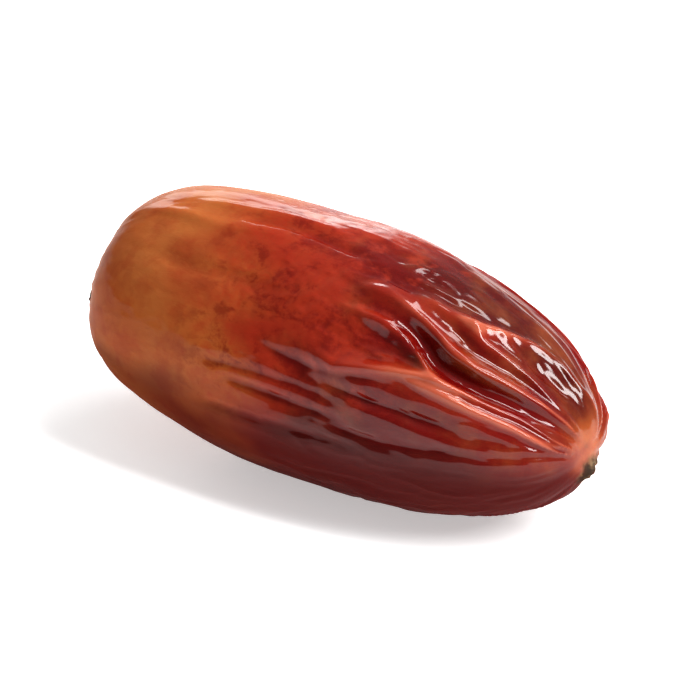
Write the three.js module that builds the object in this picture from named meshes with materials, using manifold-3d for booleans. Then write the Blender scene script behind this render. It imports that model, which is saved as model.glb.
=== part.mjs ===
// A whole date: one fruit in one piece, lying on its side on a small flat spot.
// Millimetres, +Z up. The blunt stem end is at -X and the narrower tip is at +X.
// The origin is on the ground, under the middle of the fruit's bounding box.
//
// The body is lofted through upright oval sections. Three profiles along the length set each
// section: the crown above the core line, the belly below it and the flank on either side.
// The stem scar and the dried tip are grown parts of the same solid.

import * as THREE from 'three';
import { mergeVertices } from 'three/addons/utils/BufferGeometryUtils.js';
import Module from 'manifold-3d';

// Driving dimensions

const LENGTH = 43.6;          // from the stem pole to the tip pole
const TIP_DROOP = 1.1;        // how far the core line bends down at the tip pole
const FLAT_DEPTH = 0.3;       // how far the resting spot is pressed into the belly

// half: the profile's size in the middle of the fruit.
// stemFullness and tipFullness: how blunt it is towards each end (2 is an ellipse).
// lean: how much bigger it grows towards the tip; a negative lean favours the stem end.
const CROWN = { half: 11.1, stemFullness: 3.5, tipFullness: 1.7, lean: -0.06 };
const BELLY = { half: 9.45, stemFullness: 2.1, tipFullness: 2.35, lean: 0 };
const FLANK = { half: 10.45, stemFullness: 3.4, tipFullness: 2.3, lean: 0.01 };

// Where each end feature sits: its station along the core line and its angle round the section,
// counted from +Y over the crown. Both face away from a point on the core line further in.
const SCAR_SEAT = { station: -0.985, degrees: 205, facedFrom: -0.55 };
const TIP_SEAT = { station: 0.99, degrees: -75, facedFrom: 0.7 };

// The stem scar is a low collar round a shallow dish. The tip is a small dried point.
const SCAR = { radius: 1.9, rim: 0.6, dish: 0.2, root: 1.5 };
const TIP = { radius: 1.1, height: 0.4, root: 1.2 };

// Fineness of the mesh
const STATIONS = 44;
const SECTION_POINTS = 48;
const SMALL_PART_POINTS = 20;

const SKIN = { color: 0x8a2f1b, roughness: 0.32, metalness: 0 };

// Body

// The profile's size at station s, from -1 at the stem pole to +1 at the tip pole.
function profileAt(profile, s) {
  const fullness = s < 0 ? profile.stemFullness : profile.tipFullness;
  const rounding = Math.max(0, 1 - Math.abs(s) ** fullness) ** (1 / fullness);
  return profile.half * rounding * (1 + profile.lean * s);
}

function corePoint(s) {
  return new THREE.Vector3((LENGTH / 2) * s, 0, s > 0 ? -TIP_DROOP * s * s : 0);
}

function skinPoint(s, angle) {
  const upright = profileAt(Math.sin(angle) > 0 ? CROWN : BELLY, s) * Math.sin(angle);
  const sideways = profileAt(FLANK, s) * Math.cos(angle);
  return corePoint(s).add(new THREE.Vector3(0, sideways, upright));
}

function makeBody() {
  const points = [corePoint(-1)];
  for (let i = 1; i < STATIONS; i++) {
    const s = -Math.cos((Math.PI * i) / STATIONS);
    for (let j = 0; j < SECTION_POINTS; j++) {
      points.push(skinPoint(s, (2 * Math.PI * j) / SECTION_POINTS));
    }
  }
  points.push(corePoint(1));

  const at = (i, j) => 1 + (i - 1) * SECTION_POINTS + (j % SECTION_POINTS);
  const tipPole = points.length - 1;
  const triangles = [];
  for (let j = 0; j < SECTION_POINTS; j++) {
    triangles.push(0, at(1, j + 1), at(1, j));
    for (let i = 1; i < STATIONS - 1; i++) {
      triangles.push(at(i, j), at(i, j + 1), at(i + 1, j));
      triangles.push(at(i, j + 1), at(i + 1, j + 1), at(i + 1, j));
    }
    triangles.push(at(STATIONS - 1, j), at(STATIONS - 1, j + 1), tipPole);
  }

  const geometry = new THREE.BufferGeometry().setFromPoints(points);
  geometry.setIndex(triangles);
  return geometry;
}

// End features, turned round +Y and then planted on the skin

function turned(outline) {
  const profile = outline.map(([radius, height]) => new THREE.Vector2(radius, height));
  return new THREE.LatheGeometry(profile, SMALL_PART_POINTS);
}

function planted(geometry, { station, degrees, facedFrom }) {
  const seat = skinPoint(station, THREE.MathUtils.degToRad(degrees));
  const outward = seat.clone().sub(corePoint(facedFrom)).normalize();
  const turn = new THREE.Quaternion().setFromUnitVectors(new THREE.Vector3(0, 1, 0), outward);
  return geometry.applyQuaternion(turn).translate(seat.x, seat.y, seat.z);
}

function makeScar() {
  const { radius, rim, dish, root } = SCAR;
  const collar = turned([
    [0, -root],
    [radius, -root],
    [radius, rim * 0.4],
    [radius * 0.85, rim],
    [radius * 0.65, rim],
    [radius * 0.4, dish],
    [0, dish],
  ]);
  return planted(collar, SCAR_SEAT);
}

function makeTip() {
  const { radius, height, root } = TIP;
  const point = turned([
    [0, -root],
    [radius, -root],
    [radius, 0],
    [radius * 0.55, height * 0.75],
    [0, height],
  ]);
  return planted(point, TIP_SEAT);
}

// Joining

const wasm = await Module();
wasm.setup();

function toSolid(geometry) {
  const bare = geometry.clone();
  bare.deleteAttribute('normal');
  bare.deleteAttribute('uv');
  const merged = mergeVertices(bare, 1e-4);
  return new wasm.Manifold(new wasm.Mesh({
    numProp: 3,
    vertProperties: new Float32Array(merged.getAttribute('position').array),
    triVerts: new Uint32Array(merged.getIndex().array),
  }));
}

function toGeometry(solid) {
  const { vertProperties, triVerts } = solid.getMesh();
  const geometry = new THREE.BufferGeometry();
  geometry.setAttribute('position', new THREE.BufferAttribute(vertProperties, 3));
  geometry.setIndex(new THREE.BufferAttribute(triVerts, 1));
  return geometry;
}

// Everything below the resting plane, which is pressed a little way into the belly.
function makeGround(body) {
  body.computeBoundingBox();
  const top = body.boundingBox.min.z + FLAT_DEPTH;
  return new THREE.BoxGeometry(2 * LENGTH, LENGTH, LENGTH).translate(0, 0, top - LENGTH / 2);
}

// Stands the fruit on z = 0, with the middle of its bounding box over the origin.
function seatOnGround(geometry) {
  geometry.computeBoundingBox();
  const { min, max } = geometry.boundingBox;
  return geometry.translate(-(min.x + max.x) / 2, -(min.y + max.y) / 2, -min.z);
}

function makeDate() {
  const body = makeBody();
  const grown = toSolid(body).add(toSolid(makeScar())).add(toSolid(makeTip()));
  return seatOnGround(toGeometry(grown.subtract(toSolid(makeGround(body)))));
}

const date = new THREE.Mesh(makeDate(), new THREE.MeshStandardMaterial(SKIN));
date.name = 'date';

const group = new THREE.Group();
group.add(date);

export default group;
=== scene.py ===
"""A dried date lying on a pale studio floor, modelled round its CAD frame.

The fruit starts as a block rounded to a ball, is wrapped onto a sanded copy of the CAD solid and
subdivided, and is then sculpted: folds placed one by one on both sides, finer wrinkles from seeded
noise all round, the stem scar and the dried tip. All lengths are in metres unless a name says
otherwise.
"""

import itertools
import math
from typing import NamedTuple

import bpy
import numpy as np
from bpy.props import FloatProperty, FloatVectorProperty, IntProperty, PointerProperty
from mathutils import Matrix, Vector


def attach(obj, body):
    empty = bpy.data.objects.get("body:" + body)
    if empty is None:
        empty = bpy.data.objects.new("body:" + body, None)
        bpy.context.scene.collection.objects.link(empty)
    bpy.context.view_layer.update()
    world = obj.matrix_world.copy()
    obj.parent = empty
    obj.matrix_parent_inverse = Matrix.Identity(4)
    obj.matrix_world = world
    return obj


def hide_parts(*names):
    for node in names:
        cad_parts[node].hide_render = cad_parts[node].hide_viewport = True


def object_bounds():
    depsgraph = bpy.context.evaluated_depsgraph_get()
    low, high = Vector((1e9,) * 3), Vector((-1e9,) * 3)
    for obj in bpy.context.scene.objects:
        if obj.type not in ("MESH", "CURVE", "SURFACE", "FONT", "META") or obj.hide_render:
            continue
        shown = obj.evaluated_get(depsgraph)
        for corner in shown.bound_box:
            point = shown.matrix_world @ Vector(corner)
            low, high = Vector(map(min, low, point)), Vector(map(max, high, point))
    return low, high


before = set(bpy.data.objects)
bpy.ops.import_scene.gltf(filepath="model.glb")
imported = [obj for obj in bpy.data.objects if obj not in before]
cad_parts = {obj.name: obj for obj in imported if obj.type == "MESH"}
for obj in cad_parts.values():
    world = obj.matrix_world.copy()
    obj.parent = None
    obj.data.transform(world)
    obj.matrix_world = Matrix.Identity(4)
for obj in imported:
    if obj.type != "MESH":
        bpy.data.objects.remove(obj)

bl_info = {
    "name": "Dried date",
    "version": (1, 0, 0),
    "blender": (4, 5, 0),
    "location": "3D View > Sidebar > Date",
    "description": "A glossy wrinkled dried date and the studio it lies in",
    "category": "Add Mesh",
}

MM = 0.001
NODE = "date"
CAD_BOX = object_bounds()


# Places on the fruit
#
# station runs from -1 at the stem pole to +1 at the tip pole. around is in degrees from the crown,
# positive over the front flank (-Y) and negative over the back one, with the belly at 180.

class Seat(NamedTuple):
    """A place on the skin."""
    station: float
    around: float


SCAR_SEAT = Seat(-0.985, 115)
TIP_SEAT = Seat(0.99, -165)
CORE_HEIGHT = 0.448      # of the fruit's height, at the stem end
TIP_DROOP = 0.054        # of the fruit's height, at the tip pole
RADIUS = 10.4 * MM       # of the middle of the fruit, the scale of what runs round it
PROFILE_STEPS = 40       # measures of the fruit's width and height from pole to pole
SCAR_CUT = 2.6 * MM      # how far round the scar the CAD surface is cut away before wrapping
TIP_CUT = 1.7 * MM       # and how far round the tip


class Fold(NamedTuple):
    """A ridge (height above 0) or a groove (height below 0) that runs along the skin.

    line holds (station, around) points from its start to its end. height and the two widths are
    in millimetres where the fruit is thickest and shrink with it towards the tip. A width is how
    far the fold takes to fall away, on the crown's side and on the belly's. shape is 1 for a sharp
    edge, 2 for a round one and 4 for a flat one with steep sides.
    """
    line: tuple
    height: float
    crownward: float
    bellyward: float
    shape: float


FRONT_FOLDS = (
    # The long ridge over the deep valley
    Fold(((0.20, 25), (0.31, 24), (0.40, 26), (0.50, 29.5), (0.58, 33), (0.65, 33.5), (0.75, 31),
          (0.84, 27), (0.90, 23), (1.0, 18)), 0.60, 0.80, 0.50, 1.4),
    # The deep valley
    Fold(((0.40, 33), (0.48, 35.5), (0.55, 40), (0.65, 41), (0.75, 39), (0.84, 36),
          (0.92, 33), (1.0, 28)), -0.75, 0.75, 0.60, 3.0),
    # The broad ridge below the valley, its root and its two crests
    Fold(((0.12, 63), (0.28, 59), (0.36, 56), (0.44, 53), (0.52, 52), (0.62, 53), (0.80, 53),
          (1.0, 57)), 0.42, 0.8, 1.7, 2.0),
    Fold(((0.20, 62), (0.27, 59), (0.36, 56), (0.45, 52.5), (0.52, 50), (0.58, 49.5), (0.65, 48.5),
          (0.72, 48), (0.79, 47), (0.85, 46), (0.92, 47), (1.0, 52)), 0.42, 0.28, 0.26, 1.4),
    Fold(((0.48, 55), (0.55, 54.5), (0.63, 54.5), (0.70, 55), (0.77, 55), (0.84, 55), (0.90, 57),
          (0.95, 62), (1.0, 70)), 0.42, 0.26, 0.34, 1.4),
    # The pale branch that runs into it
    Fold(((0.20, 36), (0.29, 36), (0.38, 36), (0.43, 37), (0.47, 39.5), (0.50, 43), (0.54, 46.5),
          (0.60, 49)), 0.42, 0.34, 0.38, 1.4),
    Fold(((0.26, 42), (0.36, 43), (0.46, 46)), -0.30, 0.45, 0.45, 2.0),
    # The forked ridge nearest the crown
    Fold(((0.38, 16), (0.45, 15.5), (0.51, 15), (0.58, 12.5), (0.65, 4), (0.71, -4), (0.76, -10),
          (0.82, -15), (0.90, -21), (0.95, -34), (1.0, -50)), 0.46, 0.55, 0.45, 1.5),
    Fold(((0.56, 14), (0.62, 17), (0.68, 16), (0.74, 14), (0.81, 13.5), (0.87, 13), (1.0, 8)),
         0.44, 0.45, 0.45, 1.5),
    Fold(((0.52, 13), (0.60, 11), (0.68, 6), (0.76, 1)), 0.28, 0.95, 0.95, 2.0),
    Fold(((0.78, 3), (0.82, 1), (0.87, -2), (0.94, -10)), -0.45, 0.55, 0.55, 2.0),
    Fold(((0.54, 22), (0.62, 25), (0.72, 23), (0.80, 20), (0.90, 17)), -0.25, 0.45, 0.45, 2.0),
    # Grooves low on the flank
    Fold(((-0.10, 64), (0.08, 65), (0.22, 63), (0.36, 60)), -0.32, 0.45, 0.40, 1.5),
    Fold(((0.02, 69), (0.25, 70), (0.45, 70), (0.64, 70)), -0.40, 0.60, 0.45, 1.5),
    Fold(((-0.33, 76), (-0.11, 75), (0.06, 75), (0.20, 76)), -0.22, 0.32, 0.30, 1.5),
    Fold(((-0.24, 81), (-0.06, 82), (0.11, 83), (0.27, 83)), -0.28, 0.36, 0.34, 1.5),
    Fold(((-0.32, 96), (-0.11, 96), (0.11, 95), (0.31, 94)), -0.24, 0.45, 0.40, 1.6),
    Fold(((0.22, 87), (0.35, 88), (0.50, 87), (0.68, 85)), -0.38, 0.50, 0.40, 1.5),
    # Low ripples on the crown of the stem half
    Fold(((-0.78, 17), (-0.60, 18), (-0.45, 19), (-0.28, 16)), 0.20, 0.55, 0.45, 1.6),
    Fold(((-0.58, 7), (-0.42, 5), (-0.25, 1), (-0.05, 0)), 0.22, 0.55, 0.45, 1.6),
    Fold(((-0.40, 11), (-0.24, 8), (-0.08, 8), (0.10, 10)), -0.20, 0.45, 0.40, 1.6),
    Fold(((-0.66, 38), (-0.48, 42), (-0.30, 40), (-0.12, 42)), -0.16, 0.80, 0.70, 1.8),
)

BACK_FOLDS = (
    # Ridges and valleys from the middle to the tip
    Fold(((-0.12, -50), (0.15, -55), (0.40, -52), (0.65, -50), (0.85, -53), (1.0, -62)),
         0.40, 0.80, 0.60, 1.5),
    Fold(((0.04, -66), (0.30, -69), (0.55, -65), (0.80, -68), (1.0, -76)), -0.60, 0.65, 0.60, 2.0),
    Fold(((0.10, -80), (0.35, -83), (0.60, -79), (0.85, -84), (1.0, -92)), 0.42, 0.60, 0.50, 1.4),
    Fold(((0.34, -90), (0.55, -91), (0.80, -95), (1.0, -102)), 0.30, 0.35, 0.35, 1.4),
    Fold(((-0.50, -90), (-0.25, -95), (0.05, -97), (0.32, -94)), -0.42, 0.70, 0.50, 1.6),
    Fold(((0.26, -106), (0.50, -109), (0.78, -111), (1.0, -118)), -0.46, 0.55, 0.50, 1.6),
    Fold(((-0.22, -120), (0.10, -125), (0.40, -122), (0.70, -127), (1.0, -140)), 0.36, 0.60, 0.60, 1.5),
    # Shallow ones on the stem half
    Fold(((-0.66, -66), (-0.42, -70), (-0.18, -68), (0.02, -71)), -0.30, 0.90, 0.70, 1.8),
    Fold(((-0.72, -38), (-0.45, -42), (-0.15, -39)), -0.20, 1.00, 0.90, 2.0),
    Fold(((-0.70, -115), (-0.45, -118), (-0.20, -112)), 0.26, 0.80, 0.70, 1.8),
)

FOLD_EDGE = 0.10         # mm of rounding that every fold's edge keeps
FOLD_END = 0.07          # of station, over which a fold fades in and out on each side of its end
FOLD_RADIUS = 8.5 * MM   # distance from the core line at which folds have their full size
FOLD_START = 2.5 * MM    # distance from the core line by which folds have come in at a pole
WRINKLE_START = 5 * MM   # and by which wrinkles have
REST_MARGIN = 1.6 * MM   # height above the floor by which dents, folds and wrinkles have come in


# Mesh helpers

def pick_only(piece):
    """Selects piece alone and makes it the active object."""
    bpy.ops.object.select_all(action="DESELECT")
    piece.select_set(True)
    bpy.context.view_layer.objects.active = piece


def apply_modifiers(piece):
    pick_only(piece)
    for name in [m.name for m in piece.modifiers]:
        bpy.ops.object.modifier_apply(modifier=name)


def read_points(piece):
    points = np.empty(len(piece.data.vertices) * 3)
    piece.data.vertices.foreach_get("co", points)
    return points.reshape(-1, 3)


def read_normals(piece):
    normals = np.empty(len(piece.data.vertices) * 3)
    piece.data.vertex_normals.foreach_get("vector", normals)
    return normals.reshape(-1, 3)


def write_points(piece, points):
    piece.data.vertices.foreach_set("co", points.ravel())
    piece.data.update()


def write_attribute(piece, name, values):
    """Keeps one number for each point, for the material to read."""
    attribute = piece.data.attributes.new(name, "FLOAT", "POINT")
    attribute.data.foreach_set("value", values.astype(np.float32))


# Number helpers

def ease(low, high, values):
    """0 below low, 1 above high and a smooth climb between them."""
    t = np.clip((values - low) / (high - low), 0, 1)
    return t * t * (3 - 2 * t)


def hump(values, width):
    """1 where values is 0, falling away on both sides."""
    return np.exp(-(values / width) ** 2)


def soft_noise(points, seed):
    """Smooth noise from about -1 to 1 with features about one unit wide."""
    draw = np.random.default_rng(seed)
    shuffle = draw.permutation(256)
    slopes = draw.normal(size=(256, 3))
    slopes /= np.linalg.norm(slopes, axis=1, keepdims=True)
    cell = np.floor(points).astype(int)
    inside = points - cell
    blend = inside ** 3 * (inside * (inside * 6 - 15) + 10)
    total = np.zeros(len(points))
    for corner in itertools.product((0, 1), repeat=3):
        x, y, z = (cell + corner).T & 255
        slope = slopes[shuffle[(shuffle[(shuffle[x] + y) & 255] + z) & 255]]
        weight = np.prod(np.where(corner, blend, 1 - blend), axis=1)
        total += weight * ((inside - corner) * slope).sum(1)
    return total * 1.7


def creased_noise(points, seed, rounding):
    """Noise from 0 in broad hollows to 1 on narrow crests."""
    noise = soft_noise(points, seed)
    return 1 - np.sqrt(noise * noise + rounding * rounding)


def smooth_path(line, stations):
    """The line's around value at each station, on a smooth curve through its points, and its slope."""
    s, a = np.array(line, float).T
    slope = np.gradient(a, s)
    i = np.clip(np.searchsorted(s, stations) - 1, 0, len(s) - 2)
    step = s[i + 1] - s[i]
    t = np.clip((stations - s[i]) / step, 0, 1)
    value = ((1 + 2 * t) * (1 - t) ** 2 * a[i] + t * (1 - t) ** 2 * step * slope[i]
             + t * t * (3 - 2 * t) * a[i + 1] + t * t * (t - 1) * step * slope[i + 1])
    bend = (6 * t * (t - 1) * (a[i] - a[i + 1]) / step
            + (1 - t) * (1 - 3 * t) * slope[i] + t * (3 * t - 2) * slope[i + 1])
    return value, bend


class SkinMap:
    """Where each point of the smooth fruit lies on it, as station and around.

    around is the angle round an oval section, measured as if the oval were stretched to a circle.
    """

    def __init__(self, points):
        low, high = points.min(0), points.max(0)
        self.half_length = (high[0] - low[0]) / 2
        self.station = (points[:, 0] - low[0]) / self.half_length - 1
        droop = TIP_DROOP * np.clip(self.station, 0, 1) ** 2
        rise = points[:, 2] - low[2] - (high[2] - low[2]) * (CORE_HEIGHT - droop)
        width = self.profile(np.abs(points[:, 1]))
        height = np.where(rise > 0, self.profile(rise), self.profile(-rise))
        self.radius = np.hypot(points[:, 1], rise)
        self.around = np.degrees(np.arctan2(-points[:, 1] / width, rise / height))

    def profile(self, reach):
        """The furthest reach at each point's station, smoothly along the fruit."""
        swing = np.arcsin(np.clip(self.station, -1, 1))
        edges = np.linspace(-math.pi / 2, math.pi / 2, PROFILE_STEPS + 1)
        furthest = np.full(PROFILE_STEPS, MM / 10)
        np.maximum.at(furthest, np.clip(np.digitize(swing, edges) - 1, 0, PROFILE_STEPS - 1), reach)
        return np.interp(swing, (edges[1:] + edges[:-1]) / 2, furthest)

    def turn_from(self, around):
        """Signed angle from an around value, the short way, in degrees."""
        return (self.around - around + 180) % 360 - 180

    def grain(self, along, across):
        """Coordinates for noise whose features are this long and this wide."""
        turn = np.radians(self.around)
        return np.column_stack((
            self.station * self.half_length / along,
            np.cos(turn) * RADIUS / across,
            np.sin(turn) * RADIUS / across,
        ))

    def fold_size(self):
        """How large folds are here, as a share of their full size."""
        return np.clip(self.radius / FOLD_RADIUS, 0.1, 1.1)

    def nearest(self, seat):
        """Index of the point nearest to a seat."""
        along = (self.station - seat.station) * self.half_length
        across = self.radius * np.radians(self.turn_from(seat.around))
        return int(np.argmin(along ** 2 + across ** 2))


# Sculpting. These functions give shares and heights for every point. Folds, wrinkles and dents move
# a point along its own normal, the scar and the tip along the normal at their middle. The whole
# number after a noise's points is the seed of its draw.

def fold_height(skin, fold):
    """How far one fold moves the skin out, or in where it is a groove."""
    around, bend = smooth_path(fold.line, skin.station)
    size = skin.fold_size()
    across = skin.radius * np.radians(skin.turn_from(around)) / MM
    slant = skin.radius * np.radians(bend) / skin.half_length
    width = np.where(across > 0, fold.bellyward, fold.crownward) * size * np.sqrt(1 + slant * slant)
    distance = np.sqrt(across ** 2 + (FOLD_EDGE * size) ** 2) - FOLD_EDGE * size
    first, last = fold.line[0][0], fold.line[-1][0]
    share = ease(first - FOLD_END, first + FOLD_END, skin.station)
    if last < 1:
        share *= 1 - ease(last - FOLD_END, last + FOLD_END, skin.station)
    return fold.height * MM * size * share * np.exp(-(distance / width) ** fold.shape)


def body_swell(skin, amount):
    """Broad dents, with long shallow ones that run along the fruit."""
    broad = soft_noise(skin.grain(11 * MM, 7 * MM), 3)
    return amount * (broad + 0.5 * soft_noise(skin.grain(12 * MM, 3.2 * MM), 4))


def long_wrinkles(skin, amount):
    """Crests that run the length of the fruit and draw together at the tip."""
    wander = soft_noise(skin.grain(5 * MM, 4 * MM), 21)[:, None]
    crests = creased_noise(skin.grain(8.0 * MM, 2.3 * MM) + 0.35 * wander, 22, 0.06)
    return amount * (crests - 0.6) * 1.6


def short_wrinkles(skin, amount):
    """Finer crests that break up the long ones."""
    wander = soft_noise(skin.grain(2.5 * MM, 2.0 * MM), 31)[:, None]
    crests = creased_noise(skin.grain(3.0 * MM, 1.05 * MM) + 0.5 * wander, 32, 0.08)
    return amount * (crests - 0.6) * 1.6


def crackle(skin, amount):
    """The fine net of creases on the middle of the fruit."""
    wander = soft_noise(skin.grain(1.5 * MM, 1.5 * MM), 51)[:, None]
    crests = creased_noise(skin.grain(0.95 * MM, 1.25 * MM) + 0.5 * wander, 52, 0.10)
    return amount * (crests - 0.6) * 1.6


def wrinkled_share(skin):
    """How wrinkled each place is: hardly at the stem end, fully from the middle to the tip."""
    wander = soft_noise(skin.grain(9 * MM, 6 * MM), 11)
    start = -0.35 + 0.30 * hump(skin.turn_from(45), 55) + 0.15 * wander
    return ease(start, start + 0.45, skin.station)


def middle_share(skin):
    """1 over the crown and front of the middle, where the skin is finely cracked and mottled."""
    along = ease(-0.55, -0.20, skin.station) * ease(0.55, 0.25, skin.station)
    return along * ease(95, 60, np.abs(skin.turn_from(15)))


def crease_height(skin, shape):
    """The folds and all the wrinkles together."""
    wrinkled = wrinkled_share(skin)
    folded = hump(skin.turn_from(32), 34) * ease(0.25, 0.5, skin.station)
    calm = 1 - 0.6 * hump(skin.turn_from(-24), 22) - 0.45 * hump(skin.turn_from(115), 25)
    wrinkles = long_wrinkles(skin, shape.long_wrinkle) * (0.20 + 0.80 * wrinkled) * (1 - 0.75 * folded)
    ripples = short_wrinkles(skin, shape.short_wrinkle) * (0.30 + 0.70 * wrinkled) * (1 - 0.35 * folded)
    ripples += crackle(skin, shape.crackle) * middle_share(skin)
    folds = sum(fold_height(skin, fold) for fold in FRONT_FOLDS + BACK_FOLDS)
    return (ease(0, WRINKLE_START, skin.radius) * calm * (wrinkles + ripples)
            + ease(0, FOLD_START, skin.radius) * folds)


def around_seat(points, seat_at, fineness):
    """Distance of every point from a seat, and the direction to it scaled for noise."""
    offset = points - points[seat_at]
    away = np.linalg.norm(offset, axis=1)
    return away, fineness * offset / np.maximum(away, 1e-6)[:, None]


def dry_grit(points):
    """The fine roughness of dry tissue."""
    return soft_noise(points / (0.45 * MM), 41) + 0.6 * soft_noise(points / (0.2 * MM), 42)


def stem_scar(points, seat_at, shape, grit):
    """Height of the ragged collar, the dish in it and the puckers round it, and where it is dry."""
    away, spokes = around_seat(points, seat_at, 1.6)
    reach = away / (shape.scar_radius * (1 + 0.16 * soft_noise(spokes, 43)))
    collar = 1 - ease(0.80, 1.12, reach)
    dish = 1 - ease(0.30, 0.72, reach)
    height = shape.scar_height * (collar * (0.8 + 0.25 * soft_noise(spokes * 1.6, 44)) - 0.7 * dish)
    height += 0.09 * MM * grit * collar
    height -= 0.16 * MM * hump(reach - 1.35, 0.25)
    pucker = creased_noise(spokes * 2.2, 45, 0.08) - 0.7
    height += shape.pucker * pucker * ease(1.0, 1.3, reach) * ease(4.2, 1.5, reach)
    return height, 1 - ease(1.1, 1.35, reach)


def dried_tip(points, seat_at, shape, grit):
    """Height of the dried tip, and where it is dry."""
    away, spokes = around_seat(points, seat_at, 2.5)
    reach = away / (shape.tip_radius * (1 + 0.25 * soft_noise(spokes, 46)))
    height = (shape.tip_height + 0.08 * MM * grit) * (1 - ease(0.2, 1.0, reach))
    return height, 1 - ease(0.7, 1.4, reach)


# Materials

class Nodes:
    """A short way to write a node tree. owner is the material or world that has it."""

    def __init__(self, owner):
        owner.use_nodes = True
        self.tree = owner.node_tree
        self.tree.nodes.clear()

    def feed(self, socket, value):
        """Links a socket to another node's output, or sets its number or colour."""
        if isinstance(value, bpy.types.NodeSocket):
            self.tree.links.new(value, socket)
        elif socket.type == "RGBA":
            socket.default_value = (*value, 1)
        else:
            socket.default_value = value

    def add(self, kind, settings=None, **inputs):
        """A new node. inputs gives its sockets' values by name, with _ for each space."""
        node = self.tree.nodes.new(kind)
        for key, value in (settings or {}).items():
            setattr(node, key, value)
        for key, value in inputs.items():
            self.feed(node.inputs[key.replace("_", " ")], value)
        return node

    def attribute(self, name):
        return self.add("ShaderNodeAttribute", {"attribute_name": name}).outputs["Fac"]

    def math(self, operation, a, b=0.0):
        node = self.add("ShaderNodeMath", {"operation": operation})
        self.feed(node.inputs[0], a)
        self.feed(node.inputs[1], b)
        return node.outputs[0]

    def fit(self, value, low, high, to_low=0.0, to_high=1.0):
        """value from low to high, eased onto to_low to to_high."""
        node = self.add("ShaderNodeMapRange", {"interpolation_type": "SMOOTHSTEP"}, Value=value,
                        From_Min=low, From_Max=high, To_Min=to_low, To_Max=to_high)
        return node.outputs["Result"]

    def mix(self, share, a, b):
        """Colour a where share is 0 and b where it is 1, by the colour sockets 6, 7 and 2."""
        node = self.add("ShaderNodeMix", {"data_type": "RGBA"})
        self.feed(node.inputs[0], share)
        self.feed(node.inputs[6], a)
        self.feed(node.inputs[7], b)
        return node.outputs[2]

    def noise(self, vector, scale, detail=3.0, roughness=0.55, distortion=0.0):
        node = self.add("ShaderNodeTexNoise", Vector=vector, Scale=scale, Detail=detail,
                        Roughness=roughness, Distortion=distortion)
        return node.outputs["Fac"]

    def stretch(self, vector, scale):
        return self.add("ShaderNodeMapping", Vector=vector, Scale=scale).outputs["Vector"]


def skin_colour(n, look, place, mottle):
    """Amber at the stem end to dark red at the tip, mottled, with painted shade on the underside and in
    the folds' hollows, paler crests with painted highlights on their edges, and the tip and scar over
    it.
    """
    station = n.attribute("station")
    crease = n.attribute("crease")
    middle = n.attribute("middle")

    patches = n.noise(n.stretch(place, (0.55, 1, 1)), 110.0, detail=2.0)
    shifted = n.math("ADD", station, n.fit(patches, 0.3, 0.7, -0.22, 0.22))
    amber = n.mix(n.fit(patches, 0.35, 0.65), look.amber, look.tan)
    amber = n.mix(n.fit(n.noise(place, 430.0, detail=5.0), 0.42, 0.66, 0.0, 0.38), amber, look.russet)
    colour = n.mix(n.fit(shifted, -0.50, -0.05), amber, look.russet)
    colour = n.mix(n.fit(shifted, -0.05, 0.30), colour, look.deep_red)
    colour = n.mix(n.math("MULTIPLY", n.attribute("crown"), n.fit(shifted, 0.0, 0.5)), colour, look.wine)

    colour = n.mix(n.fit(mottle, 0.45, 0.75, 0.0, 0.25), colour, look.tan)
    speckle = n.noise(n.stretch(place, (0.8, 1, 1)), 620.0, detail=4.0, roughness=0.65, distortion=0.3)
    light_specks = n.math("MULTIPLY", middle, n.fit(speckle, 0.48, 0.68, 0.0, 0.50))
    dark_specks = n.math("MULTIPLY", middle, n.fit(speckle, 0.52, 0.34, 0.0, 0.60))
    colour = n.mix(light_specks, colour, look.pale_skin_and_highlight)
    colour = n.mix(dark_specks, colour, look.deep_red)

    # Painted shade: skin that faces down is darkened towards a dark plum, less so at the stem end.
    low_flank = n.math("ADD", n.attribute("low_flank"), n.fit(patches, 0.3, 0.7, -0.30, 0.30))
    shade = n.math("MULTIPLY", n.fit(low_flank, 0.15, 1.0), n.fit(station, -0.95, -0.2, 0.55, 0.94))
    colour = n.mix(shade, colour, look.underside_shade)

    ripe = n.fit(station, -0.6, 0.1, 0.25, 1.0)
    # Painted shade: the hollows of the folds are darkened towards the groove colour, less so at the stem
    # end.
    hollows = n.math("MULTIPLY", ripe, n.fit(crease, -0.10, -0.9, 0.0, 0.88))
    # Fold tops: partly the paler thin skin and partly painted highlight.
    crests = n.math("MULTIPLY", ripe, n.fit(crease, 0.30, 1.2, 0.0, 0.45))
    # Painted highlight: a pale peach on the highest edges of the folds, from the middle to the tip.
    edges = n.math("MULTIPLY", ripe, n.math("MULTIPLY", n.attribute("edge"), 0.40))
    colour = n.mix(hollows, colour, look.groove)
    colour = n.mix(crests, colour, look.pale_skin_and_highlight)
    colour = n.mix(edges, colour, look.edge)

    tip_glow = n.math("MULTIPLY", n.attribute("tip_glow"), n.fit(mottle, 0.35, 0.60, 0.35, 1.0))
    colour = n.mix(tip_glow, colour, look.amber)
    fibres = n.mix(n.fit(n.noise(place, 900.0, detail=4.0), 0.40, 0.68), look.scar, look.husk)
    return n.mix(n.attribute("scar"), colour, fibres)


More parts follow.
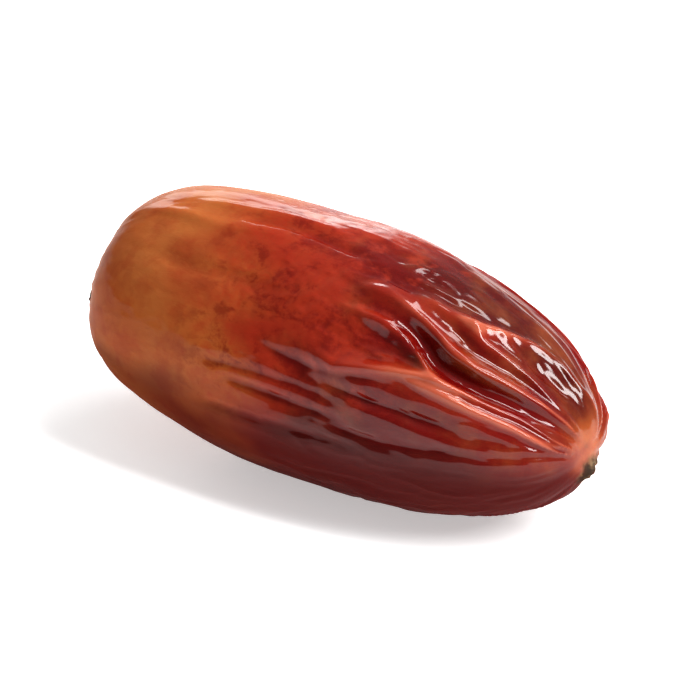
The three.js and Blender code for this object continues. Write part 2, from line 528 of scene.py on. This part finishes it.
def make_skin_material(look):
    material = bpy.data.materials.new("date_skin")
    n = Nodes(material)
    place = n.add("ShaderNodeTexCoord").outputs["Object"]
    mottle = n.noise(place, 220.0, detail=4.0)

    fine = n.noise(n.stretch(place, (0.45, 1, 1)), 1500.0, detail=3.0, distortion=0.6)
    pores = n.noise(place, 5200.0, detail=2.0)
    bumps = n.math("ADD", n.math("MULTIPLY", fine, 0.8), n.math("MULTIPLY", pores, 0.2))
    bump = n.add("ShaderNodeBump", Strength=0.55, Distance=0.08 * MM, Height=bumps)
    roughness = n.math("ADD", n.fit(mottle, 0.3, 0.7, look.roughness - 0.05, look.roughness + 0.06),
                       n.math("MULTIPLY", n.attribute("scar"), 0.4))
    gloss = n.math("MULTIPLY", n.attribute("gloss"), look.coat)

    skin = n.add("ShaderNodeBsdfPrincipled", Base_Color=skin_colour(n, look, place, mottle),
                 Roughness=roughness, Normal=bump.outputs["Normal"], Coat_Weight=gloss)
    skin.inputs["IOR"].default_value = 1.47
    skin.inputs["Specular IOR Level"].default_value = 0.0
    skin.inputs["Subsurface Weight"].default_value = look.glow
    skin.inputs["Subsurface Radius"].default_value = (1.0, 0.28, 0.12)
    skin.inputs["Subsurface Scale"].default_value = 1.6 * MM
    skin.inputs["Coat Roughness"].default_value = 0.11
    skin.inputs["Coat IOR"].default_value = 1.5
    n.add("ShaderNodeOutputMaterial", Surface=skin.outputs[0])
    return material


def make_floor_material(look):
    material = bpy.data.materials.new("studio_floor")
    n = Nodes(material)
    place = n.add("ShaderNodeTexCoord").outputs["Object"]
    cloud = n.noise(place, 4.0, detail=2.0)
    pale = tuple(look.floor)
    colour = n.mix(n.fit(cloud, 0.3, 0.7), pale, tuple(0.985 * c for c in pale))
    paper = n.add("ShaderNodeBsdfPrincipled", Base_Color=colour, Roughness=0.45)
    paper.inputs["Emission Color"].default_value = (1, 1, 1, 1)
    paper.inputs["Emission Strength"].default_value = look.floor_glow
    n.add("ShaderNodeOutputMaterial", Surface=paper.outputs[0])
    return material


# Settings

class DateShapeSettings(bpy.types.PropertyGroup):
    cuts: IntProperty(name="Cuts", description="Cuts along each edge of the starting block",
                      default=15, min=3)
    levels: IntProperty(name="Levels", description="Subdivisions of the wrapped block",
                        default=3, min=0, max=4)
    swell: FloatProperty(name="Swell", description="Height of the broad unevenness of the body",
                         default=0.28 * MM, unit="LENGTH", precision=5)
    long_wrinkle: FloatProperty(name="Long wrinkles",
                                description="Height of the wrinkles along the fruit",
                                default=0.26 * MM, unit="LENGTH", precision=5)
    short_wrinkle: FloatProperty(name="Short wrinkles", description="Height of the finer wrinkles",
                                 default=0.09 * MM, unit="LENGTH", precision=5)
    crackle: FloatProperty(name="Crackle", description="Height of the net of creases in the middle",
                           default=0.075 * MM, unit="LENGTH", precision=5)
    scar_radius: FloatProperty(name="Scar radius", description="Radius of the stem scar's collar",
                               default=2.0 * MM, unit="LENGTH", precision=5)
    scar_height: FloatProperty(name="Scar height", description="How far the collar stands out",
                               default=1.2 * MM, unit="LENGTH", precision=5)
    pucker: FloatProperty(name="Pucker", description="Height of the creases that run into the scar",
                          default=0.22 * MM, unit="LENGTH", precision=5)
    tip_radius: FloatProperty(name="Tip radius", description="Radius of the dried tip",
                              default=1.2 * MM, unit="LENGTH", precision=5)
    tip_height: FloatProperty(name="Tip height", description="How far the dried tip stands out",
                              default=0.4 * MM, unit="LENGTH", precision=5)


def colour_setting(name, description, default):
    return FloatVectorProperty(name=name, description=description, default=default, subtype="COLOR",
                               size=3, min=0, max=1)


class DateLookSettings(bpy.types.PropertyGroup):
    amber: colour_setting("Amber", "Skin at the stem end", (0.40, 0.096, 0.022))
    tan: colour_setting("Tan", "Paler patches at the stem end", (0.41, 0.130, 0.036))
    russet: colour_setting("Russet", "Skin in the middle", (0.270, 0.024, 0.009))
    deep_red: colour_setting("Deep red", "Skin towards the tip", (0.130, 0.0040, 0.0030))
    wine: colour_setting("Wine", "Skin of the crown towards the tip", (0.062, 0.002, 0.001))
    # Painted shade: a dark plum put on the skin that faces down.
    underside_shade: colour_setting("Plum", "Skin low on the flanks", (0.076, 0.0065, 0.0055))
    # Painted shade in the bottom of the folds.
    groove: colour_setting("Groove", "Bottom of the folds", (0.130, 0.0030, 0.0025))
    # Paler skin: the light flecks in the middle are its real tone; on the fold tops it is partly the
    # thin skin's tone and partly painted highlight.
    pale_skin_and_highlight: colour_setting("Crest", "Top of the folds, where the skin is thin", (0.32, 0.030, 0.012))
    # Painted highlight on the highest edges of the folds.
    edge: colour_setting("Edge", "Highest edges of the folds", (0.62, 0.19, 0.105))
    scar: colour_setting("Scar", "Dry tissue of the scar and the tip", (0.045, 0.028, 0.020))
    husk: colour_setting("Husk", "Paler fibres of the scar", (0.20, 0.125, 0.070))
    roughness: FloatProperty(name="Roughness", description="Roughness of the skin under its gloss",
                             default=0.34, min=0, max=1)
    coat: FloatProperty(name="Gloss", description="Strength of the waxy gloss",
                        default=0.74, min=0, max=1)
    glow: FloatProperty(name="Glow", description="How much light passes through the flesh",
                        default=0.15, min=0, max=1)


class DateStageSettings(bpy.types.PropertyGroup):
    floor: colour_setting("Floor", "Colour of the floor", (0.90, 0.90, 0.90))
    floor_glow: FloatProperty(name="Floor glow",
                              description="Light that the floor gives off, as a light table does",
                              default=0.40, min=0, max=2)
    azimuth: FloatProperty(name="Azimuth", description="Camera's turn round the fruit, from the front",
                           default=math.radians(34), subtype="ANGLE")
    elevation: FloatProperty(name="Elevation", description="Camera's height above the horizon",
                             default=math.radians(28), subtype="ANGLE")
    distance: FloatProperty(name="Distance", description="From the camera to the fruit",
                            default=1.4, unit="LENGTH")
    framing: FloatProperty(name="Framing", description="Width of the picture at the fruit",
                           default=0.054, unit="LENGTH", precision=4)


# Pieces

def add_sanded_copy():
    """A merged copy of the CAD solid with the scar and the tip cut off, as a form to wrap onto."""
    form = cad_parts[NODE].copy()
    form.data = form.data.copy()
    form.name = "form"
    bpy.context.scene.collection.objects.link(form)
    pick_only(form)
    bpy.ops.object.mode_set(mode="EDIT")
    bpy.ops.mesh.select_all(action="SELECT")
    bpy.ops.mesh.remove_doubles(threshold=1e-6)
    bpy.ops.mesh.select_all(action="DESELECT")
    bpy.ops.object.mode_set(mode="OBJECT")
    points = read_points(form)
    skin = SkinMap(points)
    for seat, reach in ((SCAR_SEAT, SCAR_CUT), (TIP_SEAT, TIP_CUT)):
        away = np.linalg.norm(points - points[skin.nearest(seat)], axis=1)
        for i in np.flatnonzero(away < reach):
            form.data.vertices[i].select = True
    bpy.ops.object.mode_set(mode="EDIT")
    bpy.ops.mesh.delete(type="VERT")
    bpy.ops.object.mode_set(mode="OBJECT")
    return form


def add_smooth_fruit(shape):
    """The bare fruit: a block rounded to a ball, wrapped onto the sanded form and subdivided."""
    form = add_sanded_copy()
    low, high = (Vector(corner) for corner in CAD_BOX)
    bpy.ops.object.select_all(action="DESELECT")
    bpy.ops.mesh.primitive_cube_add(size=1, location=(0, 0, 0))
    fruit = bpy.context.object
    fruit.name = NODE + "_skin"
    bpy.ops.object.mode_set(mode="EDIT")
    bpy.ops.mesh.select_all(action="SELECT")
    bpy.ops.mesh.subdivide(number_cuts=shape.cuts)
    bpy.ops.transform.tosphere(value=1)
    bpy.ops.object.mode_set(mode="OBJECT")
    reach = max(v.co.length for v in fruit.data.vertices)
    size = (high - low) / (2 * reach)
    bpy.ops.object.mode_set(mode="EDIT")
    bpy.ops.transform.resize(value=size, center_override=(0, 0, 0))
    bpy.ops.transform.translate(value=(low + high) / 2)
    bpy.ops.object.mode_set(mode="OBJECT")
    for _ in range(2):
        wrap = fruit.modifiers.new("wrap", "SHRINKWRAP")
        wrap.target = form
        wrap.wrap_method = "NEAREST_SURFACEPOINT"
        relax = fruit.modifiers.new("relax", "SMOOTH")
        relax.factor = 0.5
        relax.iterations = 2
        apply_modifiers(fruit)
    wrap = fruit.modifiers.new("wrap", "SHRINKWRAP")
    wrap.target = form
    finer = fruit.modifiers.new("finer", "SUBSURF")
    finer.levels = finer.render_levels = shape.levels
    apply_modifiers(fruit)
    bpy.data.objects.remove(form)
    return fruit


def sculpt_skin(fruit, shape):
    """Moves the points of the smooth fruit into folds and wrinkles and notes where they lie."""
    points, normals = read_points(fruit), read_normals(fruit)
    skin = SkinMap(points)
    creases = crease_height(skin, shape)
    out = body_swell(skin, shape.swell) * ease(0, WRINKLE_START, skin.radius) + creases
    lift = ease(0.0, REST_MARGIN, points[:, 2])
    moved = points + normals * (out * lift)[:, None]

    grit = dry_grit(points)
    scar_at, tip_at = skin.nearest(SCAR_SEAT), skin.nearest(TIP_SEAT)
    scar_out, scar_dry = stem_scar(points, scar_at, shape, grit)
    tip_out, tip_dry = dried_tip(points, tip_at, shape, grit)
    moved += normals[scar_at] * scar_out[:, None] + normals[tip_at] * tip_out[:, None]
    moved[:, 2] = np.maximum(moved[:, 2], 0)
    write_points(fruit, moved)

    from_tip = np.linalg.norm(points - points[skin.nearest(Seat(1.0, 0))], axis=1)
    write_attribute(fruit, "tip_glow", 0.7 * (1 - ease(0.6 * MM, 3.0 * MM, from_tip)))
    note_skin(fruit, skin, normals, creases, np.maximum(scar_dry, tip_dry))


def note_skin(fruit, skin, normals, creases, scar):
    """Keeps what the material reads: where each point lies, how high its folds are, its gloss."""
    height = creases / (MM * skin.fold_size())
    # Skin that faces down: the material paints shade here and dulls the gloss.
    low_flank = ease(0.55, -0.53, normals[:, 2])
    far_side = ease(0.25, 0.70, normals[:, 1]) * ease(0.0, 0.35, skin.station)
    gloss = (0.34 + 0.66 * ease(-0.6, 0.4, skin.station)) * (1 - 0.80 * ease(0.3, 1, low_flank))
    write_attribute(fruit, "station", skin.station)
    write_attribute(fruit, "crown", 1 - ease(0, 45, np.abs(skin.turn_from(-10))))
    write_attribute(fruit, "middle", 0.15 + 0.85 * middle_share(skin))
    write_attribute(fruit, "low_flank", low_flank)
    write_attribute(fruit, "crease", np.clip(creases / (0.45 * MM), -1, 1))
    # Where the material paints a highlight: the highest fold edges from the middle towards the tip.
    write_attribute(fruit, "edge", ease(0.50, 0.80, height) * ease(0.26, 0.50, skin.station))
    write_attribute(fruit, "gloss", gloss * (1 - 0.80 * far_side) * (1 - 0.85 * scar))
    write_attribute(fruit, "scar", scar)


class DATE_OT_fruit(bpy.types.Operator):
    """Models the wrinkled fruit with its stem scar and dried tip"""
    bl_idname = "date.fruit"
    bl_label = "Fruit"

    def execute(self, context):
        shape, look = context.scene.date_shape, context.scene.date_look
        fruit = add_smooth_fruit(shape)
        sculpt_skin(fruit, shape)
        for face in fruit.data.polygons:
            face.use_smooth = True
        fruit.data.materials.append(make_skin_material(look))
        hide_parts(NODE)
        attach(fruit, "root")
        return {"FINISHED"}


WALL_BEARING = math.radians(41)   # of the glowing wall's middle, from straight behind towards -X
WALL_STRENGTH = 4.8


def make_studio_sky():
    """A pale tent round the fruit: even overhead, dim towards the front, a glowing wall behind."""
    world = bpy.data.worlds.new("studio")
    n = Nodes(world)
    toward = n.add("ShaderNodeTexCoord").outputs["Generated"]
    split = n.add("ShaderNodeSeparateXYZ", Vector=toward).outputs
    up = split["Z"]
    forward = split["Y"]
    bearing = n.math("ARCTAN2", split["X"], forward)
    off_wall = n.math("ABSOLUTE", n.math("ADD", bearing, WALL_BEARING))
    wall = n.math("MULTIPLY", n.fit(off_wall, 0.30, 0.18), n.fit(up, 0.30, 0.21))
    dome = n.math("MULTIPLY", n.fit(up, 0.0, 0.9, 0.38, 0.42), n.fit(forward, -0.75, 0.15, 0.45, 1.0))
    light = n.math("ADD", dome, n.math("MULTIPLY", wall, WALL_STRENGTH))
    sky = n.add("ShaderNodeBackground", Strength=light)
    sky.inputs["Color"].default_value = (1, 1, 1, 1)
    n.add("ShaderNodeOutputWorld", Surface=sky.outputs[0])
    return world


def add_softbox(name, aim, direction, distance, size, power):
    """An area light that faces the fruit, with its long side as near to the X axis as it can be."""
    bpy.ops.object.select_all(action="DESELECT")
    facing = Vector(direction).normalized()
    along = (Vector((1, 0, 0)) - facing * facing.x).normalized()
    bpy.ops.object.light_add(type="AREA", location=aim + facing * distance)
    lamp = bpy.context.object
    lamp.name = name
    lamp.rotation_euler = Matrix((along, facing.cross(along), facing)).transposed().to_euler()
    lamp.data.shape = "RECTANGLE"
    lamp.data.size, lamp.data.size_y = size
    lamp.data.energy = power


class DATE_OT_stage(bpy.types.Operator):
    """Adds the floor, the soft lights and the camera"""
    bl_idname = "date.stage"
    bl_label = "Stage"

    def execute(self, context):
        stage = context.scene.date_stage
        low, high = CAD_BOX
        aim = Vector((low + high) / 2)

        bpy.ops.object.select_all(action="DESELECT")
        bpy.ops.mesh.primitive_plane_add(size=6)
        floor = bpy.context.object
        floor.name = "floor"
        floor.data.materials.append(make_floor_material(stage))

        context.scene.world = make_studio_sky()
        add_softbox("strip_softbox", aim, direction=(0.63, 0.08, 0.77), distance=0.6,
                    size=(0.50, 0.18), power=5.2)
        add_softbox("back_softbox", aim, direction=(0.20, 0.62, 0.72), distance=0.6,
                    size=(0.30, 0.14), power=1.2)

        back = Vector((
            math.sin(stage.azimuth) * math.cos(stage.elevation),
            -math.cos(stage.azimuth) * math.cos(stage.elevation),
            math.sin(stage.elevation),
        ))
        bpy.ops.object.camera_add(location=aim + back * stage.distance)
        camera = bpy.context.object
        camera.name = "camera"
        camera.rotation_euler = back.to_track_quat("Z", "Y").to_euler()
        camera.data.lens = camera.data.sensor_width * stage.distance / stage.framing
        camera.data.clip_start, camera.data.clip_end = 0.01, 20
        context.scene.camera = camera

        context.scene.view_settings.view_transform = "Standard"
        context.scene.view_settings.look = "Medium High Contrast"
        return {"FINISHED"}


class DATE_PT_panel(bpy.types.Panel):
    """Lists the pieces and their settings"""
    bl_idname = "DATE_PT_panel"
    bl_label = "Dried date"
    bl_space_type = "VIEW_3D"
    bl_region_type = "UI"
    bl_category = "Date"

    def draw(self, context):
        for operator, settings in (
            (DATE_OT_fruit, context.scene.date_shape),
            (None, context.scene.date_look),
            (DATE_OT_stage, context.scene.date_stage),
        ):
            if operator:
                self.layout.operator(operator.bl_idname)
            for name in settings.bl_rna.properties.keys():
                if name not in ("rna_type", "name"):
                    self.layout.prop(settings, name)


CLASSES = (
    DateShapeSettings,
    DateLookSettings,
    DateStageSettings,
    DATE_OT_fruit,
    DATE_OT_stage,
    DATE_PT_panel,
)


def register():
    for cls in CLASSES:
        bpy.utils.register_class(cls)
    bpy.types.Scene.date_shape = PointerProperty(type=DateShapeSettings)
    bpy.types.Scene.date_look = PointerProperty(type=DateLookSettings)
    bpy.types.Scene.date_stage = PointerProperty(type=DateStageSettings)


def unregister():
    del bpy.types.Scene.date_shape
    del bpy.types.Scene.date_look
    del bpy.types.Scene.date_stage
    for cls in reversed(CLASSES):
        bpy.utils.unregister_class(cls)


def main():
    register()
    bpy.ops.date.stage()
    bpy.ops.date.fruit()


if __name__ == "__main__":
    main()
